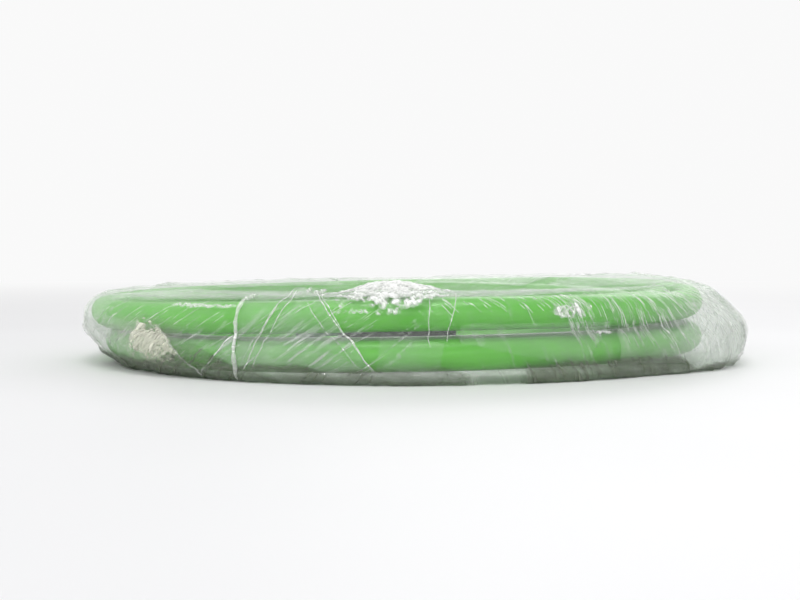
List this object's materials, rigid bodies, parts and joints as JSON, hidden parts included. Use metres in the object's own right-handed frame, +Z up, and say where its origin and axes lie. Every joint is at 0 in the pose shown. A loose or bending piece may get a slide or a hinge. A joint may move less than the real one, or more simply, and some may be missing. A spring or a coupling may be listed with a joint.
{
  "type": "fiber optic patch cord",
  "caption": "Ruggedised duplex fiber patch cord, coiled flat in clear stretch film, with a breakout and capped square push-pull plugs at each end.",
  "frame": {"origin": "on the resting surface, at the centre of the film-wrapped pack's box; the coil's own centre is 4 mm towards -X", "axes": "+Z up, +X towards the loose corner of the film and along the plugs, +Y across the plugs, -Y the side seen in front"},
  "size_m": [0.173, 0.165, 0.0196],
  "materials": {
    "cord_jacket": "satin green PVC jacket",
    "leg_jacket": "satin green PVC jacket",
    "stretch_film": "clear glossy wrinkled film",
    "breakout_rubber": "matte moulded",
    "boot_rubber": "matte moulded",
    "clip_plastic": "fine moulded grain",
    "grip_plastic": "moulded green",
    "frame_plastic": "moulded off-white",
    "ceramic": "polished zirconia",
    "flange_metal": "turned nickel silver",
    "spring_steel": "drawn wire",
    "retainer_metal": "turned and knurled",
    "crimp_metal": "crimped",
    "fiber_buffer": "smooth extruded",
    "cap_plastic": "milky soft plastic"
  },
  "bodies": {
    "cord": {"cord_coil": "cord_jacket", "film_wrap": "stretch_film", "breakout_a": "breakout_rubber", "breakout_b": "breakout_rubber", "cord_tail_a": "cord_jacket", "cord_tail_b": "cord_jacket", "plug_frame_a1": "frame_plastic", "plug_frame_a2": "frame_plastic", "plug_frame_b1": "frame_plastic", "plug_frame_b2": "frame_plastic", "spring_a1": "spring_steel", "spring_a2": "spring_steel", "spring_b1": "spring_steel", "spring_b2": "spring_steel", "back_body_a1": "retainer_metal", "back_body_a2": "retainer_metal", "back_body_b1": "retainer_metal", "back_body_b2": "retainer_metal", "crimp_sleeve_a1": "crimp_metal", "crimp_sleeve_a2": "crimp_metal", "crimp_sleeve_b1": "crimp_metal", "crimp_sleeve_b2": "crimp_metal", "boot_a1": "boot_rubber", "boot_a2": "boot_rubber", "boot_b1": "boot_rubber", "boot_b2": "boot_rubber", "leg_a1": "leg_jacket", "leg_a2": "leg_jacket", "leg_b1": "leg_jacket", "leg_b2": "leg_jacket"},
    "grips_a": {"grip_a1": "grip_plastic", "grip_a2": "grip_plastic", "duplex_clip_a": "clip_plastic"},
    "grips_b": {"grip_b1": "grip_plastic", "grip_b2": "grip_plastic", "duplex_clip_b": "clip_plastic"},
    "ferrule_set_a1": {"ferrule_a1": "ceramic", "ferrule_flange_a1": "flange_metal", "buffered_fiber_a1": "fiber_buffer"},
    "cap_a1": {"dust_cap_a1": "cap_plastic"},
    "ferrule_set_a2": {"ferrule_a2": "ceramic", "ferrule_flange_a2": "flange_metal", "buffered_fiber_a2": "fiber_buffer"},
    "cap_a2": {"dust_cap_a2": "cap_plastic"},
    "ferrule_set_b1": {"ferrule_b1": "ceramic", "ferrule_flange_b1": "flange_metal", "buffered_fiber_b1": "fiber_buffer"},
    "cap_b1": {"dust_cap_b1": "cap_plastic"},
    "ferrule_set_b2": {"ferrule_b2": "ceramic", "ferrule_flange_b2": "flange_metal", "buffered_fiber_b2": "fiber_buffer"},
    "cap_b2": {"dust_cap_b2": "cap_plastic"}
  },
  "joints": [
    {"name": "grip_slide_a", "type": "slide", "parent": "cord", "child": "grips_a", "axis": [-1, 0, 0], "range_m": [0, 0.002]},
    {"name": "grip_slide_b", "type": "slide", "parent": "cord", "child": "grips_b", "axis": [-1, 0, 0], "range_m": [0, 0.002]},
    {"name": "ferrule_press_a1", "type": "slide", "parent": "cord", "child": "ferrule_set_a1", "axis": [-1, 0, 0], "range_m": [0, 0.001], "stiffness_N_per_m": 300, "deforming": ["spring_a1"]},
    {"name": "cap_pull_a1", "type": "slide", "parent": "cord", "child": "cap_a1", "axis": [1, 0, 0], "range_m": [0, 0.014]},
    {"name": "ferrule_press_a2", "type": "slide", "parent": "cord", "child": "ferrule_set_a2", "axis": [-1, 0, 0], "range_m": [0, 0.001], "stiffness_N_per_m": 300, "deforming": ["spring_a2"]},
    {"name": "cap_pull_a2", "type": "slide", "parent": "cord", "child": "cap_a2", "axis": [1, 0, 0], "range_m": [0, 0.014]},
    {"name": "ferrule_press_b1", "type": "slide", "parent": "cord", "child": "ferrule_set_b1", "axis": [-1, 0, 0], "range_m": [0, 0.001], "stiffness_N_per_m": 300, "deforming": ["spring_b1"]},
    {"name": "cap_pull_b1", "type": "slide", "parent": "cord", "child": "cap_b1", "axis": [1, 0, 0], "range_m": [0, 0.014]},
    {"name": "ferrule_press_b2", "type": "slide", "parent": "cord", "child": "ferrule_set_b2", "axis": [-1, 0, 0], "range_m": [0, 0.001], "stiffness_N_per_m": 300, "deforming": ["spring_b2"]},
    {"name": "cap_pull_b2", "type": "slide", "parent": "cord", "child": "cap_b2", "axis": [1, 0, 0], "range_m": [0, 0.014]}
  ]
}
